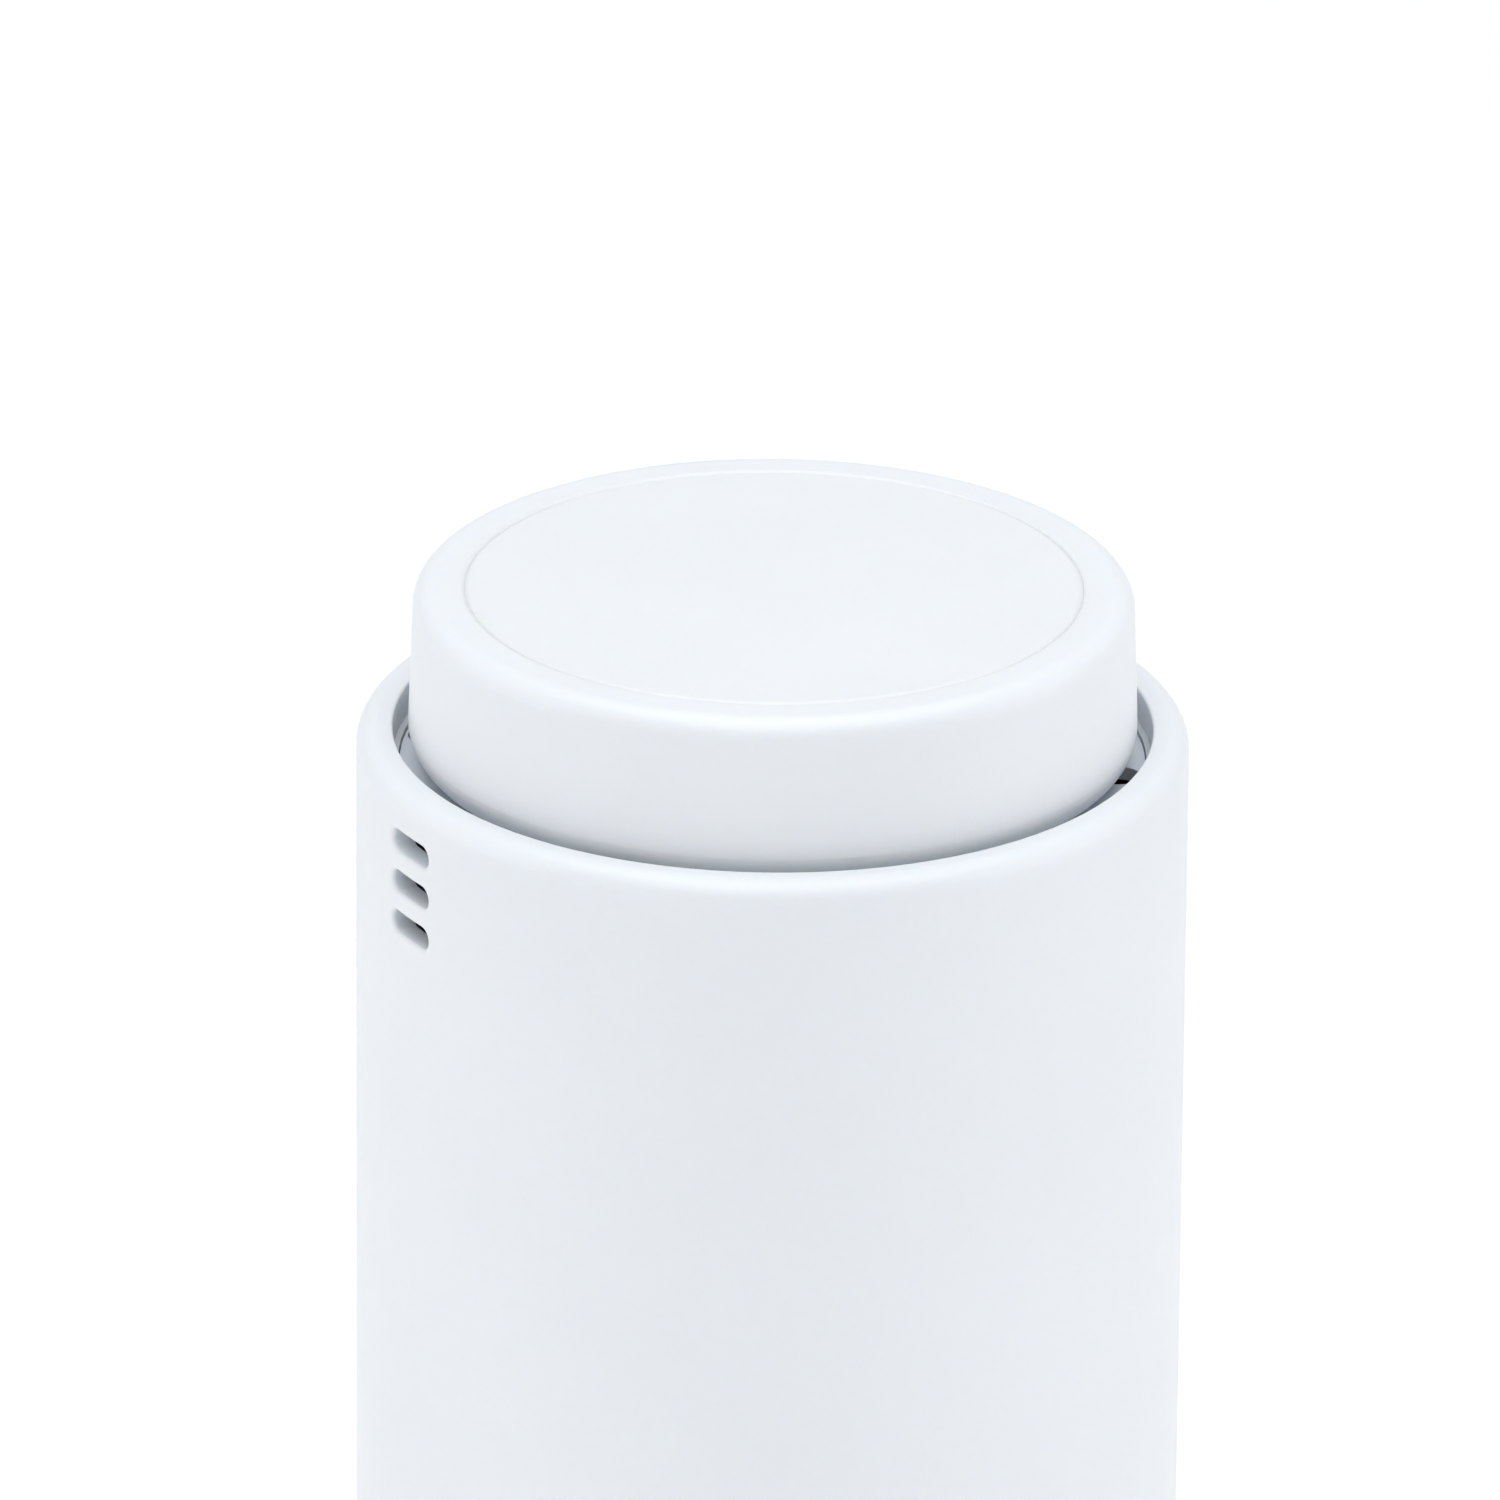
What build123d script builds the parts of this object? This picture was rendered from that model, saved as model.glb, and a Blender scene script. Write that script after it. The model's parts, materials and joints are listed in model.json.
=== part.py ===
from build123d import *
from math import cos, radians, sin, tan
import os

os.makedirs("parts", exist_ok=True)

# Millimetres. The origin is the middle of the resting surface, +Z is up, and the front faces -Y.

# ---------------------------------------------------------------- driving dimensions

overall_height = 190.0
shell_radius = 45.35
cap_above_rim = 16.2
rim_z = overall_height - cap_above_rim

# Outer sleeve
shell_wall = 2.7
shell_inner_radius = shell_radius - shell_wall
shell_bottom_z = 1.2
rim_inner_radius = 41.4
rim_fillet = 2.2
rim_inner_fillet = 0.3
ledge_depth = 3.7
ledge_z = rim_z - ledge_depth
lip_inner_radius = 40.75
lip_bottom_z = ledge_z - 1.5
base_step_z = 4.1
base_pocket_radius = 43.6
shell_bottom_fillet = 0.8

# Vent slots high on both sides of the sleeve
slot_width = 7.9
slot_height = 2.5
slot_pitch = 4.75
slot_first_depth = 5.6
slot_count = 3
slot_edge_fillet = 0.5

# Port recess low on the back of the sleeve
recess_width = 54.0
recess_bottom_z = 8.0
recess_top_z = 33.0
recess_corner = 5.0
recess_edge_fillet = 0.6
port_face_y = 31.0
bezel_wall = 1.6
bezel_gap = 0.15

# Raised cap
cap_top_radius = 39.15
cap_taper = 0.034
cap_bottom_z = rim_z - 3.1
cap_top_fillet = 2.3
cap_bottom_fillet = 3.6
cap_wall = 2.0
cap_ceiling = 1.8
cap_opening_radius = 33.5
cap_boss_radius = 3.2
cap_boss_rise = 2.0
cap_pilot_depth = 6.0
disc_radius = 33.6
disc_thickness = 1.2
disc_gap = 0.005
groove_width = 0.9
groove_depth = 0.2

# Deck under the cap: a flat outer floor round a lower dish that lets air reach the ring gap
deck_top_z = rim_z - 4.1
deck_thickness = 1.5
deck_radius = 40.6
deck_hole_radius = 9.0
dish_radius = 34.2
dish_top_z = deck_top_z - 2.4
dish_bottom_z = dish_top_z - deck_thickness
opening_width = 5.0
opening_inner_radius = 31.0
opening_outer_radius = 40.3
opening_angles = (54.0, 129.0, 231.0, 306.0)
vent_width = 2.2
vent_inner_radius = 26.2
vent_outer_radius = 33.6
vent_count = 24
vent_clear_angle = 11.0
deck_boss_radius = 3.0
deck_pilot_depth = 7.0
neck_outer_radius = 25.0
neck_inner_radius = 22.0
cap_screw_circle = 17.0
cap_screw_angles = (90.0, 210.0, 330.0)
deck_screw_place = 21.0

# Base
cover_bottom_z = 1.8
cover_radius = 43.4
foot_inner_radius = 37.4
foot_outer_radius = 41.0
foot_sunk = 0.8
label_width = 30.0
label_depth = 18.0
label_thickness = 0.25
intake_count = 24
intake_circle = 24.0
intake_length = 9.0
intake_width = 2.0
cover_boss_radius = 3.9
reset_guide_radius = 2.2
reset_guide_top_z = 6.8

# Inner frame and boards
post_x = 28.5
post_y = 17.0
post_radius = 3.4
post_bottom_z = 6.4
board_thickness = 1.6
io_bottom_z = 12.0
io_top_z = io_bottom_z + board_thickness
io_radius = 38.0
io_rear_y = 28.0
rail_inner_x = 36.0
rail_outer_x = 41.3
rail_half_depth = 4.5
rail_top_z = 150.0
ring_thickness = 3.0
blind_outer_radius = 41.2
blind_inner_radius = 39.8
blind_height = 12.0
blind_half_angle = 17.0
main_half_width = 37.8
main_bottom_z = 22.0
main_top_z = 138.0
tongue_half_width = 20.0
board_screw_x = 33.0
board_screw_heights = (30.0, 128.0)

# Heat sinks, one each side of the upright board
sink_half_width = 29.5
sink_bottom_z = 44.0
sink_top_z = 128.0
sink_standoff = 4.4
sink_plate = 2.5
fin_height = 12.0
fin_thickness = 1.4
fin_pitch = 6.0
fin_count = 8
sink_screw_x = 26.0
sink_screw_heights = (48.0, 124.0)
can_height = 2.6
can_sheet = 0.2

# Sockets, standing on the lower board
jack_width = 16.0
jack_height = 13.4
jack_depth = 18.0
jack_front_y = port_face_y - 0.3
jack_centres = (-6.5, 10.5)
dc_centre_x = -21.0
dc_width = 9.0
dc_height = 11.0
dc_depth = 14.0
dc_bore_radius = 3.2
dc_pin_radius = 1.0

# Capacitors of the power supply, on the lower board
capacitor_places = ((-26.0, 5.0), (-26.0, -8.0), (26.0, -8.0))
capacitor_radius = 3.15
capacitor_height = 8.0

# Buttons
pair_x = 22.6
pair_z = io_top_z + 3.0
pair_radius = 2.4
pair_travel = 0.4
reset_x = -32.0
reset_radius = 0.9
switch_size = 6.0
switch_height = 3.5
plunger_radius = 1.75
plunger_reach = 0.8

# Status light
window_width = 7.0
window_height = 1.8
window_z = 15.6

# Antennas and their leads
carrier_bottom_z = cap_bottom_z + 5.0
carrier_thickness = 1.2
carrier_hole_radius = 14.0
carrier_radius = 32.5
carrier_window_circle = 21.0
carrier_window_radius = 4.0
carrier_leg_circle = 27.0
carrier_leg_radius = 2.0
antenna_radius = 30.0
antenna_height = 8.0
antenna_sheet = 0.4
antenna_angles = (225.0, 135.0, 45.0, 315.0)
antenna_half_angles = (24.0, 15.0, 24.0, 15.0)
lead_radius = 0.565
lead_bundle_radius = 6.5
lead_max_bend = 8.0
lead_sockets_x = (-24.0, -8.0, 8.0, 24.0)
plug_radius = 1.35
plug_height = 2.4
plug_depth = 4.4

# Screws: shank radius, the hole it clears and the hole it bites in
screw_radius = 1.25
screw_clear_radius = 1.5
screw_bite_radius = 1.27
screw_head_radius = 2.4
screw_head_height = 1.5


# ---------------------------------------------------------------- helpers

def block(x0, x1, y0, y1, z0, z1):
    """A box between two corners."""
    middle = Pos((x0 + x1) / 2, (y0 + y1) / 2, (z0 + z1) / 2)
    return middle * Box(x1 - x0, y1 - y0, z1 - z0)


def rod(x, y, z0, z1, radius):
    """An upright cylinder."""
    return Pos(x, y, (z0 + z1) / 2) * Cylinder(radius, z1 - z0)


def rod_y(x, z, y0, y1, radius):
    """A cylinder lying along Y."""
    return prism_y(Pos(x, z) * Circle(radius), y0, y1)


def tube(outer, inner, z0, z1):
    """A ring about the object's axis."""
    return rod(0, 0, z0, z1, outer) - rod(0, 0, z0, z1, inner)


def prism_x(sketch, x0, x1):
    """A sketch in Y and Z, extruded along X."""
    return extrude(Plane.YZ.offset(x0) * sketch, amount=x1 - x0)


def prism_y(sketch, y0, y1):
    """A sketch in X and Z, extruded along Y."""
    return extrude(Plane.XZ.offset(-y0) * sketch, amount=y0 - y1)


def prism_z(sketch, z0, z1):
    """A sketch in X and Y, extruded along Z."""
    return extrude(Plane.XY.offset(z0) * sketch, amount=z1 - z0)


def turned(points):
    """A closed outline of (radius, height) points, turned about the object's axis."""
    outline = Polyline(*points, close=True)
    return revolve(Plane.XZ * make_face(outline), axis=Axis.Z)


def ring_edges(shape, radius, z):
    """The circular edges of a turned shape at one radius and height."""
    circles = shape.edges().filter_by(GeomType.CIRCLE)
    return [
        edge for edge in circles
        if abs(edge.radius - radius) < 0.01 and abs(edge.arc_center.Z - z) < 0.01
    ]


def polar(radius, angle):
    """X and Y of a point at an angle in degrees."""
    return radius * cos(radians(angle)), radius * sin(radians(angle))


def corners(x, y):
    """The four points (+-x, +-y)."""
    return [(sx * x, sy * y) for sx in (-1, 1) for sy in (-1, 1)]


def sector(outer, inner, z0, z1, angle, half_angle):
    """A piece of a ring, centred on an angle in degrees."""
    profile = Plane.XZ * Pos((outer + inner) / 2, (z0 + z1) / 2) * Rectangle(outer - inner, z1 - z0)
    piece = revolve(profile, axis=Axis.Z, revolution_arc=2 * half_angle)
    return Rot(0, 0, angle - half_angle) * piece


def screw(length):
    """A pan-head screw, its shank pointing up from the underside of the head at the origin."""
    head = rod(0, 0, -screw_head_height, 0, screw_head_radius)
    head = fillet(ring_edges(head, screw_head_radius, -screw_head_height), 0.7)
    drive = block(-1.2, 1.2, -0.25, 0.25, -screw_head_height, -screw_head_height + 0.8)
    shank = rod(0, 0, 0, length, screw_radius)
    return head + shank - drive - Rot(0, 0, 90) * drive


def cone_radius(z):
    """Outer radius of the raised cap at a height."""
    return cap_top_radius + cap_taper * (overall_height - z)


def groove_ring():
    """The shallow round groove on top of the cap, as a cutter."""
    bend = ((groove_width / 2) ** 2 + groove_depth ** 2) / (2 * groove_depth)
    centre = Pos(disc_radius, overall_height - groove_depth + bend)
    return revolve(Plane.XZ * centre * Circle(bend), axis=Axis.Z)


# ---------------------------------------------------------------- sleeve, cap and deck

def outer_shell():
    """The straight sleeve, with its lip, side vents, port recess and light window."""
    shell = turned([
        (shell_radius, shell_bottom_z),
        (shell_radius, rim_z),
        (rim_inner_radius, rim_z),
        (rim_inner_radius, ledge_z),
        (lip_inner_radius, ledge_z),
        (lip_inner_radius, lip_bottom_z),
        (shell_inner_radius, lip_bottom_z),
        (shell_inner_radius, base_step_z),
        (base_pocket_radius, base_step_z),
        (base_pocket_radius, shell_bottom_z),
    ])
    shell = fillet(ring_edges(shell, shell_radius, rim_z), rim_fillet)
    shell = fillet(ring_edges(shell, rim_inner_radius, rim_z), rim_inner_fillet)
    shell = fillet(ring_edges(shell, shell_radius, shell_bottom_z), shell_bottom_fillet)
    for step in range(slot_count):
        z = rim_z - slot_first_depth - step * slot_pitch
        slot = Pos(0, z) * SlotOverall(slot_width, slot_height)
        shell -= prism_x(slot, -shell_radius - 5, -shell_inner_radius + 0.3)
        shell -= prism_x(slot, shell_inner_radius - 0.3, shell_radius + 5)
    slots_bottom_z = rim_z - slot_first_depth - (slot_count - 0.5) * slot_pitch
    slot_edges = [
        edge for edge in shell.edges()
        if abs(edge.center().X) > shell_radius - 0.3
        and abs(edge.center().Y) < slot_width / 2 + 0.1
        and slots_bottom_z < edge.center().Z < rim_z - 3
    ]
    shell = fillet(slot_edges, slot_edge_fillet)
    recess_middle_z = (recess_top_z + recess_bottom_z) / 2
    recess_height = recess_top_z - recess_bottom_z
    recess = Pos(0, recess_middle_z) * RectangleRounded(recess_width, recess_height, recess_corner)
    shell -= prism_y(recess, port_face_y - 5, shell_radius + 5)
    window = Pos(0, window_z) * SlotOverall(window_width, window_height)
    shell -= prism_y(window, -shell_radius - 5, -shell_inner_radius + 5)
    recess_edges = [
        edge for edge in shell.edges()
        if edge.center().Y > port_face_y
        and recess_bottom_z - 0.1 < edge.center().Z < recess_top_z + 0.1
        and abs(Vector(edge.center().X, edge.center().Y).length - shell_radius) < 1.0
        and abs(Vector((edge @ 0).X, (edge @ 0).Y).length - shell_radius) < 0.01
        and abs(Vector((edge @ 1).X, (edge @ 1).Y).length - shell_radius) < 0.01
    ]
    return fillet(recess_edges, recess_edge_fillet)


def top_cap():
    """The raised cap: a cup turned upside down, with a rounded lower edge that turns under."""
    inner_top_z = overall_height - disc_thickness - cap_ceiling
    inner_bottom_z = cap_bottom_z + cap_wall
    cap = turned([
        (0, overall_height),
        (cap_top_radius, overall_height),
        (cone_radius(cap_bottom_z), cap_bottom_z),
        (cap_opening_radius, cap_bottom_z),
        (cap_opening_radius, inner_bottom_z),
        (cone_radius(inner_bottom_z) - cap_wall, inner_bottom_z),
        (cone_radius(inner_top_z) - cap_wall, inner_top_z),
        (0, inner_top_z),
    ])
    cap = fillet(ring_edges(cap, cap_top_radius, overall_height), cap_top_fillet)
    cap = fillet(ring_edges(cap, cone_radius(cap_bottom_z), cap_bottom_z), cap_bottom_fillet)
    inner_corner = ring_edges(cap, cone_radius(inner_bottom_z) - cap_wall, inner_bottom_z)
    cap = fillet(inner_corner, cap_bottom_fillet - cap_wall)
    seat_z = overall_height - disc_thickness
    cap -= rod(0, 0, seat_z, overall_height, disc_radius + disc_gap)
    return cap - groove_ring()


def top_disc():
    """The round inlay set flush in the cap's top."""
    seat_z = overall_height - disc_thickness
    return rod(0, 0, seat_z, overall_height, disc_radius - disc_gap) - groove_ring()


def cap_base():
    """The plate that closes the cap from below, with the short neck that it stands on."""
    plate_top_z = cap_bottom_z + cap_wall
    base = rod(0, 0, cap_bottom_z, plate_top_z, cap_opening_radius - 0.2)
    base += tube(cap_opening_radius - 0.4, cap_opening_radius - 2.2, plate_top_z, plate_top_z + 2.5)
    base += tube(neck_outer_radius, neck_inner_radius, dish_top_z, cap_bottom_z)
    for angle in cap_screw_angles:
        x, y = polar(cap_screw_circle, angle)
        base += rod(x, y, dish_top_z, plate_top_z + cap_boss_rise, cap_boss_radius)
        base -= rod(x, y, dish_top_z, dish_top_z + cap_pilot_depth, screw_bite_radius)
    return base - rod(0, 0, dish_top_z, plate_top_z + 3, deck_hole_radius)


def vent_deck():
    """The dished floor between sleeve and cap, with four radial openings and hidden vents."""
    bottom_z = deck_top_z - deck_thickness
    deck = turned([
        (deck_radius, deck_top_z),
        (dish_radius, deck_top_z),
        (dish_radius, dish_top_z),
        (0, dish_top_z),
        (0, dish_bottom_z),
        (dish_radius + deck_thickness, dish_bottom_z),
        (dish_radius + deck_thickness, bottom_z),
        (deck_radius, bottom_z),
    ])
    flange = tube(shell_inner_radius - 0.3, 39.6, bottom_z - 0.9, lip_bottom_z - 0.05)
    deck += flange - block(-50, 50, -12, 12, bottom_z - 1, deck_top_z)
    opening_length = opening_outer_radius - opening_inner_radius
    opening = Pos((opening_outer_radius + opening_inner_radius) / 2, 0)
    opening = opening * SlotOverall(opening_length, opening_width)
    for angle in opening_angles:
        # The angles are counted from the front, which faces -Y.
        deck -= Rot(0, 0, angle - 90) * prism_z(opening, dish_bottom_z, deck_top_z)
    vent = Pos((vent_outer_radius + vent_inner_radius) / 2, 0)
    vent = vent * SlotOverall(vent_outer_radius - vent_inner_radius, vent_width)
    for step in range(vent_count):
        angle = step * 360 / vent_count
        if min(abs((angle + 90 - other + 180) % 360 - 180) for other in opening_angles) > vent_clear_angle:
            deck -= Rot(0, 0, angle) * prism_z(vent, dish_bottom_z, dish_top_z)
    for x, y in corners(deck_screw_place, deck_screw_place):
        deck += rod(x, y, rail_top_z + ring_thickness, dish_bottom_z, deck_boss_radius)
        deck -= rod(x, y, rail_top_z, rail_top_z + ring_thickness + deck_pilot_depth, screw_bite_radius)
    for angle in cap_screw_angles:
        x, y = polar(cap_screw_circle, angle)
        deck -= rod(x, y, dish_bottom_z, dish_top_z, screw_clear_radius)
    return deck - rod(0, 0, dish_bottom_z, dish_top_z, deck_hole_radius)


# ---------------------------------------------------------------- base

def base_cover():
    """The bottom plate, with intake slots, screw wells, a foot groove and the reset hole."""
    cover = rod(0, 0, cover_bottom_z, base_step_z, cover_radius)
    groove_top_z = cover_bottom_z + foot_sunk
    cover -= tube(foot_outer_radius + 0.1, foot_inner_radius - 0.1, cover_bottom_z, groove_top_z)
    label = RectangleRounded(label_width + 0.3, label_depth + 0.3, 2.0)
    cover -= prism_z(label, cover_bottom_z, cover_bottom_z + label_thickness)
    intake = Pos(intake_circle, 0) * SlotOverall(intake_length, intake_width)
    for step in range(intake_count):
        cover -= Rot(0, 0, step * 360 / intake_count) * prism_z(intake, cover_bottom_z, base_step_z)
    for x, y in corners(post_x, post_y):
        cover += rod(x, y, base_step_z, post_bottom_z - 0.05, cover_boss_radius)
        cover -= rod(x, y, cover_bottom_z, cover_bottom_z + 2.0, screw_head_radius + 0.3)
        cover -= rod(x, y, cover_bottom_z, post_bottom_z, screw_clear_radius)
    cover += rod(reset_x, 0, base_step_z, reset_guide_top_z, reset_guide_radius)
    return cover - rod(reset_x, 0, cover_bottom_z, reset_guide_top_z, reset_radius + 0.2)


def foot_ring():
    """The soft ring that the object rests on."""
    ring = tube(foot_outer_radius, foot_inner_radius, 0, cover_bottom_z + foot_sunk)
    edges = ring_edges(ring, foot_outer_radius, 0) + ring_edges(ring, foot_inner_radius, 0)
    return fillet(edges, 0.5)


def label_plate():
    """The blank rating label."""
    label = RectangleRounded(label_width, label_depth, 1.8)
    return prism_z(label, cover_bottom_z, cover_bottom_z + label_thickness)


def port_bezel():
    """The recessed port panel, a shallow tub that lines the opening in the sleeve."""
    middle_z = (recess_top_z + recess_bottom_z) / 2
    width = recess_width - 2 * bezel_gap
    height = recess_top_z - recess_bottom_z - 2 * bezel_gap
    corner = recess_corner - bezel_gap
    back_y = port_face_y - bezel_wall
    outline = Pos(0, middle_z) * RectangleRounded(width, height, corner)
    inside = Pos(0, middle_z) * RectangleRounded(
        width - 2 * bezel_wall, height - 2 * bezel_wall, corner - bezel_wall)
    tub = prism_y(outline, back_y, shell_radius) - prism_y(inside, port_face_y, shell_radius)
    tub &= rod(0, 0, 0, recess_top_z + 5, shell_radius - 0.3)
    for side in (-1, 1):
        hook_x = sorted((side * (width / 2 - 0.5), side * (width / 2 + 0.9)))
        tub += block(*hook_x, back_y + 0.2, port_face_y + 0.4, middle_z - 5, middle_z + 5)
    for x in jack_centres:
        half = jack_width / 2 + 0.15
        top_z = io_top_z + jack_height + 0.15
        tub -= block(x - half, x + half, back_y, port_face_y, io_top_z - 0.1, top_z)
    tub -= rod_y(dc_centre_x, io_top_z + dc_height / 2 + 0.8, back_y, port_face_y, dc_bore_radius + 0.5)
    return tub - rod_y(pair_x, pair_z, back_y, port_face_y, pair_radius + 0.2)


def light_pipe():
    """The clear light guide behind the status window, flush with the sleeve outside."""
    window = Pos(0, window_z) * SlotOverall(window_width - 0.1, window_height - 0.1)
    pipe = prism_y(window, -shell_radius, -38.5)
    pipe &= rod(0, 0, 0, 2 * window_z, shell_radius - 0.1)
    flange = Pos(0, window_z) * RectangleRounded(window_width + 2, window_height + 1.6, 0.8)
    return pipe + prism_y(flange, -42.1, -40.9)


# ---------------------------------------------------------------- inner frame and boards

def chassis():
    """The inner frame: a bottom ring with four posts, two grooved rails, a top ring and blinds."""
    frame = tube(shell_inner_radius - 0.8, 35.0, post_bottom_z, post_bottom_z + 1.5)
    for x, y in corners(post_x, post_y):
        frame += rod(x, y, post_bottom_z, io_bottom_z, post_radius)
        web_x = sorted((x, x * 1.25))
        frame += block(*web_x, y - 0.8, y + 0.8, post_bottom_z, post_bottom_z + 1.5)
        frame -= rod(x, y, post_bottom_z, io_bottom_z, screw_bite_radius)
    for side in (-1, 1):
        rail_x = sorted((side * rail_inner_x, side * rail_outer_x))
        groove_x = sorted((side * rail_inner_x, side * (main_half_width + 0.2)))
        rail = block(*rail_x, -rail_half_depth, rail_half_depth, post_bottom_z, rail_top_z)
        rail -= block(*groove_x, -board_thickness / 2 - 0.1, board_thickness / 2 + 0.1,
                      main_bottom_z - 0.5, rail_top_z)
        for z in board_screw_heights:
            tab_x = sorted((side * 30.0, side * (rail_inner_x + 0.5)))
            tab = block(*tab_x, board_thickness / 2 + 0.1, rail_half_depth, z - 3, z + 3)
            rail += tab - rod_y(side * board_screw_x, z, 0, rail_half_depth, screw_bite_radius)
        frame += rail
    ring_top_z = rail_top_z + ring_thickness
    frame += tube(shell_inner_radius - 1.2, 26.0, rail_top_z, ring_top_z)
    for angle in (0, 180):
        # A blind behind each group of side vents, so that nothing inside shows.
        frame += sector(blind_outer_radius, blind_inner_radius, ring_top_z, ring_top_z + blind_height,
                        angle, blind_half_angle)
    for x, y in corners(deck_screw_place, deck_screw_place):
        frame -= rod(x, y, rail_top_z, ring_top_z, screw_clear_radius)
    return frame


def main_board():
    """The upright radio board, with the tongue that plugs into the lower board."""
    half = board_thickness / 2
    board = block(-main_half_width, main_half_width, -half, half, main_bottom_z, main_top_z)
    board = fillet(board.edges().filter_by(Axis.Y), 2.0)
    board += block(-tongue_half_width, tongue_half_width, -half, half, main_bottom_z - 5.5, main_bottom_z)
    for side in (-1, 1):
        for z in board_screw_heights:
            board -= rod_y(side * board_screw_x, z, -half, half, screw_clear_radius)
        for z in sink_screw_heights:
            board -= rod_y(side * sink_screw_x, z, -half, half, screw_clear_radius)
    return board


def io_board():
    """The lower board, which carries the sockets, the switches and the light."""
    board = rod(0, 0, io_bottom_z, io_top_z, io_radius)
    board -= block(-50, 50, io_rear_y, 50, io_bottom_z, io_top_z)
    for side in (-1, 1):
        notch_x = sorted((side * (rail_inner_x - 0.3), side * 50))
        board -= block(*notch_x, -rail_half_depth - 0.3, rail_half_depth + 0.3, io_bottom_z, io_top_z)
    for x, y in corners(post_x, post_y):
        board -= rod(x, y, io_bottom_z, io_top_z, screw_clear_radius)
    return board


def board_socket():
    """The slot connector that takes the upright board's tongue."""
    socket = block(-23.0, 23.0, -3.5, 3.5, io_top_z, io_top_z + 7.0)
    half = board_thickness / 2 + 0.1
    slot_bottom_z = main_bottom_z - 5.6
    socket -= block(-tongue_half_width - 0.2, tongue_half_width + 0.2, -half, half,
                    slot_bottom_z, io_top_z + 7.0)
    return socket


# ---------------------------------------------------------------- cooling and shielding

def heat_sink(side):
    """A finned plate on one side of the upright board: -1 is the front, 1 the back."""
    half = board_thickness / 2
    plate_y = sorted((side * sink_standoff, side * (sink_standoff + sink_plate)))
    sink = block(-sink_half_width, sink_half_width, *plate_y, sink_bottom_z, sink_top_z)
    fin_y = sorted((side * (sink_standoff + sink_plate), side * (sink_standoff + sink_plate + fin_height)))
    for step in range(fin_count):
        x = (step - (fin_count - 1) / 2) * fin_pitch
        sink += block(x - fin_thickness / 2, x + fin_thickness / 2, *fin_y, sink_bottom_z, sink_top_z)
    post_y_range = sorted((side * half, side * sink_standoff))
    hole_y = sorted((side * half, side * (sink_standoff + sink_plate)))
    hole_radius = screw_clear_radius if side > 0 else screw_bite_radius
    for x in (-sink_screw_x, sink_screw_x):
        for z in sink_screw_heights:
            sink += rod_y(x, z, *post_y_range, 3.0)
            sink -= rod_y(x, z, *hole_y, hole_radius)
    return sink


def can(side, x, z, width, height):
    """A sheet-metal shield over a chip, open towards the board."""
    half = board_thickness / 2
    outer_y = sorted((side * half, side * (half + can_height)))
    inner_y = sorted((side * half, side * (half + can_height - can_sheet)))
    outer = Pos(x, z) * RectangleRounded(width, height, 1.0)
    inner = Pos(x, z) * RectangleRounded(width - 2 * can_sheet, height - 2 * can_sheet, 0.8)
    return prism_y(outer, *outer_y) - prism_y(inner, *inner_y)


def chip(side, x, z, width, height, thickness):
    """A chip package on one face of the upright board."""
    half = board_thickness / 2
    y = sorted((side * half, side * (half + thickness)))
    package = block(x - width / 2, x + width / 2, *y, z - height / 2, z + height / 2)
    return chamfer(package.faces().sort_by(Axis.Y)[0 if side < 0 else -1].edges(), 0.15)


def pad(side, x, z, width, height):
    """A thermal pad between a shield and its heat sink."""
    y = sorted((side * (board_thickness / 2 + can_height), side * sink_standoff))
    return block(x - width / 2, x + width / 2, *y, z - height / 2, z + height / 2)


# Shields: name, side of the board, x, z, width and height
shields = (
    ("processor", -1, 0.0, 108.0, 36.0, 36.0),
    ("high_band", -1, 0.0, 66.0, 28.0, 28.0),
    ("low_band", 1, 0.0, 70.0, 28.0, 28.0),
    ("switch", 1, 0.0, 108.0, 24.0, 24.0),
)


# ---------------------------------------------------------------- sockets, switches and light

def socket_outline(x, grow):
    """The stepped mouth of an 8-pin socket, with its latch notch at the bottom."""
    mouth = Pos(x, io_top_z + 7.4) * Rectangle(11.8 + 2 * grow, 7.0 + 2 * grow)
    shoulder = Pos(x, io_top_z + 3.3) * Rectangle(6.4 + 2 * grow, 2.0 + 2 * grow)
    notch = Pos(x, io_top_z + 2.0) * Rectangle(4.2 + 2 * grow, 1.6 + 2 * grow)
    return mouth + shoulder + notch


def jack_housing(x):
    """The plastic body of an 8-pin network socket."""
    half = jack_width / 2 - can_sheet - 0.05
    top_z = io_top_z + jack_height - can_sheet - 0.05
    back_y = jack_front_y - jack_depth + can_sheet + 0.05
    front_y = jack_front_y - can_sheet - 0.05
    body = block(x - half, x + half, back_y, front_y, io_top_z, top_z)
    return body - prism_y(socket_outline(x, 0), front_y - 12.6, front_y)


def jack_shield(x):
    """The folded metal shell round a network socket, with a stepped window."""
    half = jack_width / 2
    top_z = io_top_z + jack_height
    back_y = jack_front_y - jack_depth
    shell = block(x - half, x + half, back_y, jack_front_y, io_top_z, top_z)
    shell -= block(x - half + can_sheet, x + half - can_sheet, back_y + can_sheet,
                   jack_front_y - can_sheet, io_top_z, top_z - can_sheet)
    return shell - prism_y(socket_outline(x, 0.25), jack_front_y - 1, jack_front_y)


def jack_contacts(x):
    """Eight sprung contact wires, folded back and down from the roof of the socket."""
    back_y = jack_front_y - can_sheet - 0.05 - 12.6
    roof_z = io_top_z + 10.7
    wire = Polyline(
        (back_y, roof_z), (back_y + 8.6, roof_z), (back_y + 2.4, roof_z - 2.4),
        (back_y + 2.2, roof_z - 2.1), (back_y + 7.6, roof_z - 0.3), (back_y, roof_z - 0.3),
        close=True)
    pitch = 1.02
    contacts = []
    for step in range(8):
        middle_x = x + (step - 3.5) * pitch
        contacts.append(prism_x(make_face(wire), middle_x - 0.2, middle_x + 0.2))
    return contacts


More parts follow.
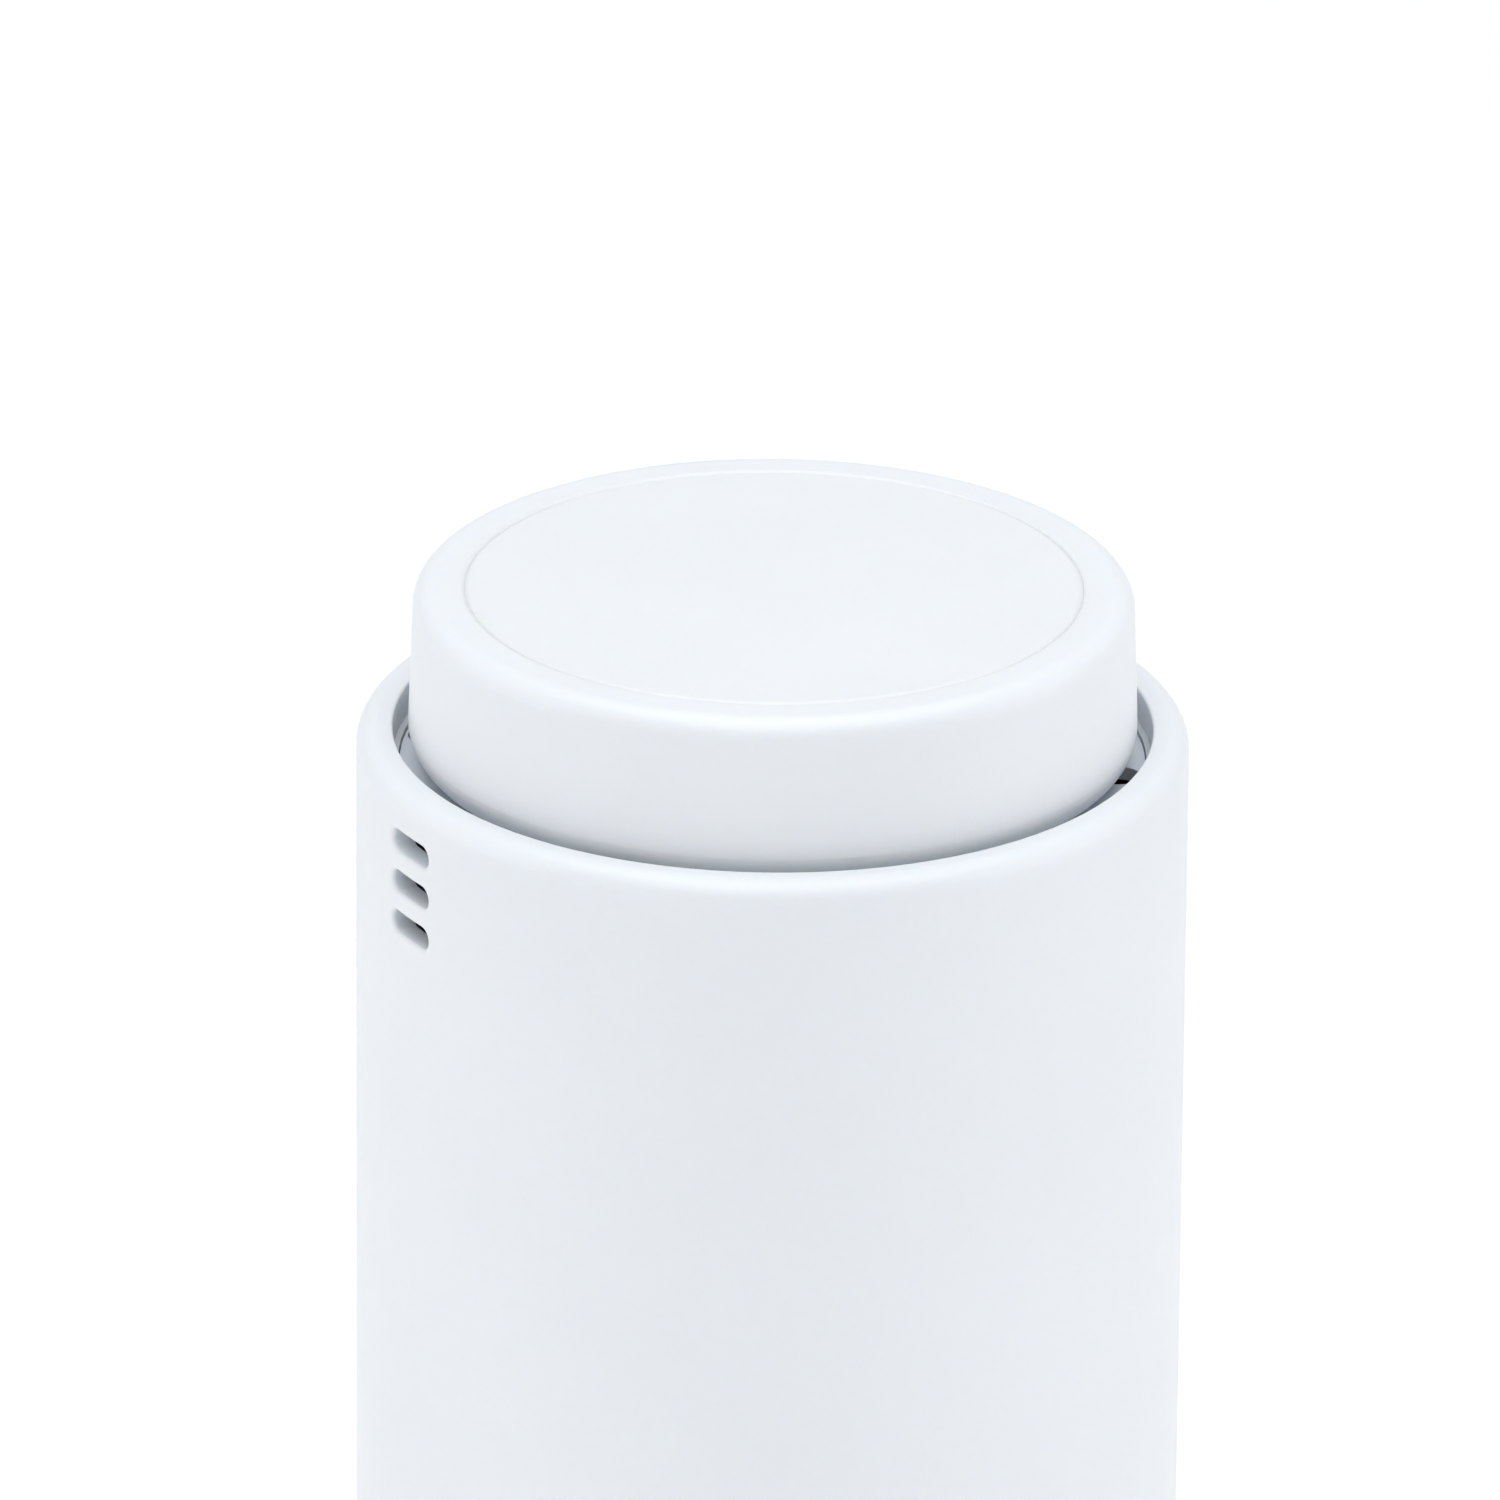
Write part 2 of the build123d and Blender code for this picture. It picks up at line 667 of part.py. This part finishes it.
def dc_jack_housing():
    """The plastic body of the power inlet."""
    front_y = port_face_y - bezel_wall - 0.05
    half = dc_width / 2
    body = block(dc_centre_x - half, dc_centre_x + half, front_y - dc_depth, front_y,
                 io_top_z, io_top_z + dc_height + 0.8)
    return body - rod_y(dc_centre_x, io_top_z + dc_height / 2 + 0.8, front_y - 10.5, front_y, dc_bore_radius)


def dc_jack_pin():
    """The centre pin of the power inlet."""
    front_y = port_face_y - bezel_wall - 0.05
    pin = rod_y(dc_centre_x, io_top_z + dc_height / 2 + 0.8, front_y - 10.5, front_y - 0.8, dc_pin_radius)
    tip = pin.faces().sort_by(Axis.Y)[-1].edges()
    return fillet(tip, 0.6)


def switch_body():
    """A push switch, standing on the origin with its plunger upwards."""
    half = switch_size / 2
    body = block(-half, half, -half, half, 0, switch_height)
    body = fillet(body.edges().filter_by(Axis.Z), 0.4)
    return body - rod(0, 0, switch_height - 1.3, switch_height, plunger_radius + 0.1)


def switch_plunger():
    """The plunger of a push switch, at rest."""
    return rod(0, 0, switch_height - 0.6, switch_height + plunger_reach, plunger_radius)


pair_flange_y = port_face_y - bezel_wall - 0.9
pair_switch_place = Pos(pair_x, pair_flange_y - plunger_reach - switch_height, pair_z) * Rot(-90, 0, 0)
reset_switch_place = Pos(reset_x, 0, io_bottom_z) * Rot(180, 0, 0)
reset_flange_z = io_bottom_z - switch_height - plunger_reach


def pair_button():
    """The round pairing key beside the sockets."""
    key = rod_y(pair_x, pair_z, pair_flange_y + 0.85, port_face_y + 0.6, pair_radius)
    key = fillet(key.faces().sort_by(Axis.Y)[-1].edges(), 0.35)
    return key + rod_y(pair_x, pair_z, pair_flange_y, pair_flange_y + 0.85, pair_radius + 0.55)


def reset_button():
    """The pin behind the reset hole, reached with a paper clip."""
    return rod(reset_x, 0, 2.8, reset_flange_z, reset_radius) + rod(
        reset_x, 0, 6.85, reset_flange_z, 1.9)


def capacitors():
    """The round capacitors of the power supply."""
    cans = []
    top_z = io_top_z + capacitor_height
    for x, y in capacitor_places:
        body = rod(x, y, io_top_z, top_z, capacitor_radius)
        cans.append(fillet(ring_edges(body, capacitor_radius, top_z), 0.5))
    return cans


def lan_transformers():
    """One isolating transformer behind each network socket."""
    return [
        block(x - 6.0, x + 6.0, 5.0, 11.5, io_top_z, io_top_z + 5.0)
        for x in jack_centres
    ]


# ---------------------------------------------------------------- antennas and leads

carrier_top_z = carrier_bottom_z + carrier_thickness


def antenna_carrier():
    """The plastic plate inside the cap that holds the antennas."""
    plate = rod(0, 0, carrier_bottom_z, carrier_top_z, carrier_radius)
    plate -= rod(0, 0, carrier_bottom_z, carrier_top_z, carrier_hole_radius)
    for angle in (0, 90, 180, 270):
        x, y = polar(carrier_window_circle, angle)
        plate -= rod(x, y, carrier_bottom_z, carrier_top_z, carrier_window_radius)
    for angle in (60, 180, 300):
        x, y = polar(carrier_leg_circle, angle)
        plate += rod(x, y, cap_bottom_z + cap_wall, carrier_bottom_z, carrier_leg_radius)
    return plate


def antenna(angle, half_angle):
    """A folded sheet-metal antenna standing on the carrier."""
    outer = antenna_radius + antenna_sheet
    top_z = carrier_top_z + antenna_height
    wall = sector(outer, antenna_radius, carrier_top_z, top_z, angle, half_angle)
    roof = sector(outer, antenna_radius - 4, top_z - antenna_sheet, top_z, angle, half_angle)
    foot = sector(outer, antenna_radius - 4, carrier_top_z, carrier_top_z + antenna_sheet, angle, 4)
    return wall + roof + foot


def bend_radii(points):
    """The radius at each corner of a path, as large as its two runs allow."""
    radii = []
    for before, corner, after in zip(points, points[1:], points[2:]):
        run_in = Vector(*corner) - Vector(*before)
        run_out = Vector(*after) - Vector(*corner)
        half_turn = radians(run_in.get_angle(run_out)) / 2
        room = 0.45 * min(run_in.length, run_out.length) / tan(half_turn)
        radii.append(min(room, lead_max_bend))
    return radii


def antenna_lead(angle, socket_x):
    """A thin coaxial lead: in along the carrier, down through the neck, out to the board."""
    height = carrier_top_z + lead_radius + 0.1
    start = polar(antenna_radius - 4.2, angle)
    turn = polar(lead_bundle_radius, angle)
    points = [
        (*start, height),
        (*turn, height),
        (*turn, rail_top_z),
        (socket_x, -2.5, main_top_z + 4.5),
        (socket_x, -2.5, main_top_z - 3.0),
    ]
    path = FilletPolyline(*points, radius=bend_radii(points))
    return sweep(Plane(path @ 0, z_dir=path % 0) * Circle(lead_radius), path=path)


def lead_plugs():
    """The snap-on plugs at the board end of the leads."""
    front_y = -board_thickness / 2
    z = main_top_z - plug_depth
    return [rod_y(x, z, front_y - plug_height, front_y, plug_radius) for x in lead_sockets_x]


# ---------------------------------------------------------------- fasteners

def base_screws():
    """Four screws, up through the base into the frame's posts."""
    return [Pos(x, y, cover_bottom_z + 2.0) * screw(6.5) for x, y in corners(post_x, post_y)]


def io_board_screws():
    """Four short screws, down through the lower board into the frame's posts."""
    return [Pos(x, y, io_top_z) * Rot(180, 0, 0) * screw(3.0) for x, y in corners(post_x, post_y)]


def board_screws():
    """Four screws from the front of the upright board into the frame's tabs."""
    face_y = -board_thickness / 2
    return [
        Pos(side * board_screw_x, face_y, z) * Rot(-90, 0, 0) * screw(5.0)
        for side in (-1, 1) for z in board_screw_heights
    ]


def heat_sink_screws():
    """Four screws from the back sink, through the board, into the front sink."""
    face_y = sink_standoff + sink_plate
    return [
        Pos(side * sink_screw_x, face_y, z) * Rot(90, 0, 0) * screw(12.0)
        for side in (-1, 1) for z in sink_screw_heights
    ]


def deck_screws():
    """Four screws, up through the frame's top ring into the deck's bosses."""
    return [
        Pos(x, y, rail_top_z) * screw(ring_thickness + 6.0)
        for x, y in corners(deck_screw_place, deck_screw_place)
    ]


def cap_screws():
    """Three screws, up through the deck into the cap's neck."""
    return [
        Pos(*polar(cap_screw_circle, angle), dish_bottom_z) * screw(6.5)
        for angle in cap_screw_angles
    ]


# ---------------------------------------------------------------- nodes

nodes = {
    "outer_shell": outer_shell(),
    "top_cap": top_cap(),
    "top_disc": top_disc(),
    "cap_base": cap_base(),
    "cap_screws": cap_screws(),
    "vent_deck": vent_deck(),
    "deck_screws": deck_screws(),
    "base_cover": base_cover(),
    "base_screws": base_screws(),
    "foot_ring": foot_ring(),
    "label_plate": label_plate(),
    "port_bezel": port_bezel(),
    "light_pipe": light_pipe(),
    "status_led": block(-1.6, 1.6, -36.6, -35.0, io_top_z, io_top_z + 1.4),
    "chassis": chassis(),
    "main_board": main_board(),
    "board_screws": board_screws(),
    "io_board": io_board(),
    "io_board_screws": io_board_screws(),
    "board_socket": board_socket(),
    "heat_sink_front": heat_sink(-1),
    "heat_sink_rear": heat_sink(1),
    "heat_sink_screws": heat_sink_screws(),
    "processor_chip": chip(-1, -5.0, 108.0, 17.0, 17.0, 1.4),
    "memory_chips": [chip(-1, 11.0, z, 8.0, 11.0, 1.1) for z in (101.0, 115.0)],
    "high_band_radio_chip": chip(-1, 0.0, 66.0, 12.0, 12.0, 1.0),
    "low_band_radio_chip": chip(1, 0.0, 70.0, 12.0, 12.0, 1.0),
    "network_switch_chip": chip(1, 0.0, 108.0, 14.0, 14.0, 1.2),
    "thermal_pads": [pad(side, x, z, w - 8, h - 8) for _, side, x, z, w, h in shields],
    "lan_transformers": lan_transformers(),
    "capacitors": capacitors(),
    "dc_jack_housing": dc_jack_housing(),
    "dc_jack_pin": dc_jack_pin(),
    "pair_button": pair_button(),
    "pair_switch_body": pair_switch_place * switch_body(),
    "pair_switch_plunger": pair_switch_place * switch_plunger(),
    "reset_button": reset_button(),
    "reset_switch_body": reset_switch_place * switch_body(),
    "reset_switch_plunger": reset_switch_place * switch_plunger(),
    "antenna_carrier": antenna_carrier(),
    "lead_plugs": lead_plugs(),
}
for name, side, x, z, width, height in shields:
    nodes[f"{name}_shield_can"] = can(side, x, z, width, height)
for number, x in enumerate(jack_centres, start=1):
    nodes[f"network_jack_housing_{number}"] = jack_housing(x)
    nodes[f"network_jack_shield_{number}"] = jack_shield(x)
    nodes[f"network_jack_contacts_{number}"] = jack_contacts(x)
for number, angle in enumerate(antenna_angles, start=1):
    nodes[f"antenna_{number}"] = antenna(angle, antenna_half_angles[number - 1])
    nodes[f"antenna_lead_{number}"] = antenna_lead(angle, lead_sockets_x[number - 1])

for name, shape in nodes.items():
    pieces = shape if isinstance(shape, list) else [shape]
    solids = [solid for piece in pieces for solid in piece.solids()]
    whole = solids[0] if len(solids) == 1 else Compound(solids)
    export_step(whole, f"parts/{name}.step")
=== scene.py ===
import json
from math import cos, radians, sin

import bpy
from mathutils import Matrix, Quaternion, Vector


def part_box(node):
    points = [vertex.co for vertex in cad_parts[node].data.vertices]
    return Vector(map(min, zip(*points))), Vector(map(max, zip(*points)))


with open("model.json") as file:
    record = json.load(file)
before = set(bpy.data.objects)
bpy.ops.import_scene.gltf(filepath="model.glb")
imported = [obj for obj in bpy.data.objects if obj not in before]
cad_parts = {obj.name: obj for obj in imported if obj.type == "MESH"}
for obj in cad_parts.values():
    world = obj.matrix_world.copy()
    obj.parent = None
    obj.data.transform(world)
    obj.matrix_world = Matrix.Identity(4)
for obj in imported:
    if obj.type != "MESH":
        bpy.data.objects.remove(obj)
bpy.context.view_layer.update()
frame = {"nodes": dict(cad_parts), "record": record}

# ---------------------------------------------------------------- sizes read from the frame (metres)

shell_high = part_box("outer_shell")[1]
rim_z = shell_high[2]
shell_radius = shell_high[0]
middle = Vector((0.0, 0.0, rim_z / 2))
rim_centre = Vector((0.0, 0.0, rim_z))

# ---------------------------------------------------------------- studio (metres, watts, radians)

floor_size = 24.0
box_distance = 1.9
top_box_height = 2.4
top_box_aim = (0, 0, 0.1)
side_box_size = (1.6, 2.2)
side_box_forward = 0.2
front_box_size = (1.8, 1.0)
front_box_away = 1.5
front_box_rise = 2.1
top_power, left_power, right_power, front_power = 31.9, 9.4, 9.8, 6.6
cool_tint = (0.95, 0.99, 1.0)
air_colour = (0.98, 0.985, 1.0)
air_strength = 0.53

camera_turn = radians(-30.0)
camera_rise = 0.39151
camera_roll = -0.008
camera_lens = 452.5
camera_distance = 45.24 * shell_radius
aim_left = 0.0012 * camera_distance
aim_down = 0.0014 * camera_distance
side_way = Vector((cos(camera_turn), sin(camera_turn), 0.0))
to_camera = Vector((sin(camera_turn), -cos(camera_turn), 0.0))

# ---------------------------------------------------------------- material helpers

scatter_depth = 0.0015
scatter_by_channel = (0.7, 0.9, 1.15)


def new_material(name):
    """An empty node material with a Principled shader, and handles to build on."""
    material = bpy.data.materials.new(name)
    material.use_nodes = True
    tree = material.node_tree
    shader = tree.nodes["Principled BSDF"]
    return material, tree, shader


def noise(tree, vector, scale, detail=2.0, rough=0.5):
    """A noise texture; scale is in features per metre."""
    node = tree.nodes.new("ShaderNodeTexNoise")
    node.inputs["Scale"].default_value = scale
    node.inputs["Detail"].default_value = detail
    node.inputs["Roughness"].default_value = rough
    tree.links.new(vector, node.inputs["Vector"])
    return node.outputs["Fac"]


def spread(tree, value, low, high):
    """Maps 0.3 to 0.7, where noise mostly lies, onto low to high."""
    node = tree.nodes.new("ShaderNodeMapRange")
    node.inputs["From Min"].default_value = 0.3
    node.inputs["From Max"].default_value = 0.7
    node.inputs["To Min"].default_value = low
    node.inputs["To Max"].default_value = high
    tree.links.new(value, node.inputs["Value"])
    return node.outputs["Result"]


def mix_colours(tree, factor, low, high):
    """A blend of two plain colours, or of a colour and a socket."""
    node = tree.nodes.new("ShaderNodeMix")
    node.data_type = "RGBA"
    for socket, value in ((node.inputs[6], low), (node.inputs[7], high)):
        if isinstance(value, bpy.types.NodeSocket):
            tree.links.new(value, socket)
        else:
            socket.default_value = (*value, 1.0)
    tree.links.new(factor, node.inputs[0])
    return node.outputs[2]


def bump(tree, height, strength, distance, after=None):
    """A bump of a real height in metres, on top of another bump if one is given."""
    node = tree.nodes.new("ShaderNodeBump")
    node.inputs["Strength"].default_value = strength
    node.inputs["Distance"].default_value = distance
    tree.links.new(height, node.inputs["Height"])
    if after is not None:
        tree.links.new(after, node.inputs["Normal"])
    return node.outputs["Normal"]


def object_place(tree):
    """Position in the object's own space, in metres, so that scales are real sizes."""
    return tree.nodes.new("ShaderNodeTexCoord").outputs["Object"]


def shade(colour, factor):
    """A colour made lighter or darker."""
    return tuple(min(1.0, channel * factor) for channel in colour)


def plastic(name, colour, rough=0.38, grain=0.00001, grain_scale=2600.0, tone=0.012, inner=0.0):
    """Moulded plastic: slight tone drift, uneven gloss, a fine spark-eroded grain."""
    material, tree, shader = new_material(name)
    place = object_place(tree)
    drift = spread(tree, noise(tree, place, 28.0), 0.0, 1.0)
    base = mix_colours(tree, drift, shade(colour, 1 - tone), shade(colour, 1 + tone))
    tree.links.new(base, shader.inputs["Base Color"])
    gloss = spread(tree, noise(tree, place, 160.0, 3.0), rough - 0.04, rough + 0.04)
    tree.links.new(gloss, shader.inputs["Roughness"])
    fine = bump(tree, noise(tree, place, grain_scale, 1.0), 1.0, grain)
    tree.links.new(fine, shader.inputs["Normal"])
    shader.inputs["IOR"].default_value = 1.5
    if inner:
        shader.inputs["Subsurface Weight"].default_value = inner
        shader.inputs["Subsurface Radius"].default_value = scatter_by_channel
        shader.inputs["Subsurface Scale"].default_value = scatter_depth
    return material


def metal(name, colour, rough, grain_scale=900.0, stretch=(1.0, 1.0, 1.0)):
    """Bare metal with uneven gloss, drawn along one axis if stretch says so."""
    material, tree, shader = new_material(name)
    mapping = tree.nodes.new("ShaderNodeMapping")
    mapping.inputs["Scale"].default_value = stretch
    tree.links.new(object_place(tree), mapping.inputs["Vector"])
    place = mapping.outputs["Vector"]
    grain = noise(tree, place, grain_scale, 4.0)
    tone = spread(tree, grain, 0.0, 1.0)
    tree.links.new(mix_colours(tree, tone, shade(colour, 0.9), colour), shader.inputs["Base Color"])
    tree.links.new(spread(tree, grain, rough - 0.06, rough + 0.08), shader.inputs["Roughness"])
    tree.links.new(bump(tree, grain, 0.6, 0.00001), shader.inputs["Normal"])
    shader.inputs["Metallic"].default_value = 1.0
    return material


def clear_plastic(name):
    """Milky clear polycarbonate."""
    material, tree, shader = new_material(name)
    place = object_place(tree)
    cloud = spread(tree, noise(tree, place, 900.0, 3.0), 0.0, 1.0)
    base = mix_colours(tree, cloud, (0.80, 0.83, 0.86), (0.88, 0.90, 0.92))
    tree.links.new(base, shader.inputs["Base Color"])
    tree.links.new(spread(tree, cloud, 0.22, 0.34), shader.inputs["Roughness"])
    shader.inputs["Transmission Weight"].default_value = 0.55
    shader.inputs["IOR"].default_value = 1.58
    return material


white = (0.84, 0.865, 0.90)
finishes = {
    "shell_white": plastic("shell_white", white, 0.36, inner=0.3),
    "disc_white": plastic("disc_white", white, 0.36, inner=0.3),
    # deck_white is the same white plastic as the shell, painted brighter and bluer: painted bluish
    # fill light for the shaded floor under the cap
    "deck_white": plastic("deck_white", (0.86, 0.90, 0.96), 0.5),
    "base_white": plastic("base_white", (0.80, 0.82, 0.85), 0.5, 0.00003, 1800.0),
    "bezel_white": plastic("bezel_white", (0.80, 0.82, 0.85), 0.46, 0.00003, 1800.0),
    "button_white": plastic("button_white", (0.82, 0.84, 0.87), 0.34),
    "black_plastic": plastic("black_plastic", (0.018, 0.018, 0.02), 0.42, tone=0.1),
    "rubber_grey": plastic("rubber_grey", (0.20, 0.205, 0.215), 0.75, 0.00005, 1400.0, 0.06),
    "label_film": plastic("label_film", (0.74, 0.75, 0.77), 0.55),
    "clear_plastic": clear_plastic("clear_plastic"),
    "led_epoxy": plastic("led_epoxy", (0.78, 0.76, 0.52), 0.2),
    "board_green": plastic("board_green", (0.012, 0.10, 0.045), 0.3, 0.00002, 700.0, 0.12),
    "sink_aluminium": metal("sink_aluminium", (0.80, 0.81, 0.82), 0.36, 500.0, (1.0, 1.0, 0.04)),
    "tinned_steel": metal("tinned_steel", (0.78, 0.78, 0.76), 0.28),
    "screw_steel": metal("screw_steel", (0.66, 0.66, 0.67), 0.32, 1600.0),
    "gold_contact": metal("gold_contact", (0.92, 0.70, 0.28), 0.22),
    "antenna_metal": metal("antenna_metal", (0.80, 0.66, 0.40), 0.3),
    "chip_epoxy": plastic("chip_epoxy", (0.03, 0.03, 0.033), 0.6, 0.00003, 3000.0, 0.1),
    "pad_grey": plastic("pad_grey", (0.32, 0.37, 0.44), 0.8, 0.00005, 1500.0, 0.05),
    "can_aluminium": metal("can_aluminium", (0.78, 0.79, 0.80), 0.3),
    "carrier_white": plastic("carrier_white", (0.68, 0.68, 0.66), 0.5),
    "lead_grey": plastic("lead_grey", (0.10, 0.10, 0.105), 0.4, tone=0.08),
}

for subpart in frame["record"]["subparts"]:
    node = frame["nodes"][subpart["node"]]
    for slot in node.material_slots:
        slot.material = finishes[subpart["material_slot"]]

# ---------------------------------------------------------------- floor, light and camera


def flat_square(name, size):
    """A level square at height zero, centred on the object's axis."""
    half = size / 2
    mesh = bpy.data.meshes.new(name)
    corners = [(-half, -half, 0.0), (half, -half, 0.0), (half, half, 0.0), (-half, half, 0.0)]
    mesh.from_pydata(corners, [], [(0, 1, 2, 3)])
    square = bpy.data.objects.new(name, mesh)
    bpy.context.collection.objects.link(square)
    return square


floor = flat_square("floor", floor_size)
floor_material, floor_tree, floor_shader = new_material("studio_floor")
floor_tone = spread(floor_tree, noise(floor_tree, object_place(floor_tree), 1.3), 0.0, 1.0)
floor_base = mix_colours(floor_tree, floor_tone, (0.955, 0.955, 0.955), (0.965, 0.965, 0.965))
floor_tree.links.new(floor_base, floor_shader.inputs["Base Color"])
floor_shader.inputs["Roughness"].default_value = 0.9
floor_shader.inputs["Specular IOR Level"].default_value = 0.1
floor_shader.inputs["Emission Color"].default_value = (1.0, 1.0, 1.0, 1.0)
floor_shader.inputs["Emission Strength"].default_value = 0.07
floor.data.materials.append(floor_material)


def soft_light(name, place, size, power, aim, tint=(1.0, 1.0, 1.0)):
    """A rectangular softbox, pointed at a spot."""
    data = bpy.data.lights.new(name, "AREA")
    data.shape = "RECTANGLE"
    data.size, data.size_y = size
    data.energy = power
    data.color = tint
    light = bpy.data.objects.new(name, data)
    light.location = place
    light.rotation_euler = (Vector(aim) - Vector(place)).to_track_quat("-Z", "Y").to_euler()
    bpy.context.collection.objects.link(light)


top_box_size = (top_box_height, top_box_height)
soft_light("top_box", (0, 0, top_box_height), top_box_size, top_power, top_box_aim, cool_tint)
side_middle = middle + to_camera * side_box_forward
soft_light("left_box", side_middle - side_way * box_distance, side_box_size, left_power, middle)
soft_light("right_box", side_middle + side_way * box_distance, side_box_size, right_power, middle)
front_place = middle + to_camera * front_box_away + Vector((0, 0, front_box_rise))
soft_light("front_box", front_place, front_box_size, front_power, middle)

world = bpy.data.worlds.new("studio_air")
world.use_nodes = True
world.node_tree.nodes["Background"].inputs["Color"].default_value = (*air_colour, 1.0)
world.node_tree.nodes["Background"].inputs["Strength"].default_value = air_strength
bpy.context.scene.world = world
bpy.context.scene.view_settings.view_transform = "Standard"

camera_data = bpy.data.cameras.new("camera")
camera_data.lens = camera_lens
camera_data.sensor_width = 36.0
camera_data.clip_start = 0.1
camera_data.clip_end = 60.0
camera = bpy.data.objects.new("camera", camera_data)
bpy.context.collection.objects.link(camera)
back_way = to_camera * cos(camera_rise) + Vector((0, 0, sin(camera_rise)))
camera.location = rim_centre + back_way * camera_distance
up_way = back_way.cross(side_way)
aim = rim_centre - side_way * aim_left - up_way * aim_down
look = (aim - camera.location).to_track_quat("-Z", "Y")
camera.rotation_mode = "QUATERNION"
camera.rotation_quaternion = look @ Quaternion((0, 0, -1), camera_roll)
bpy.context.scene.camera = camera
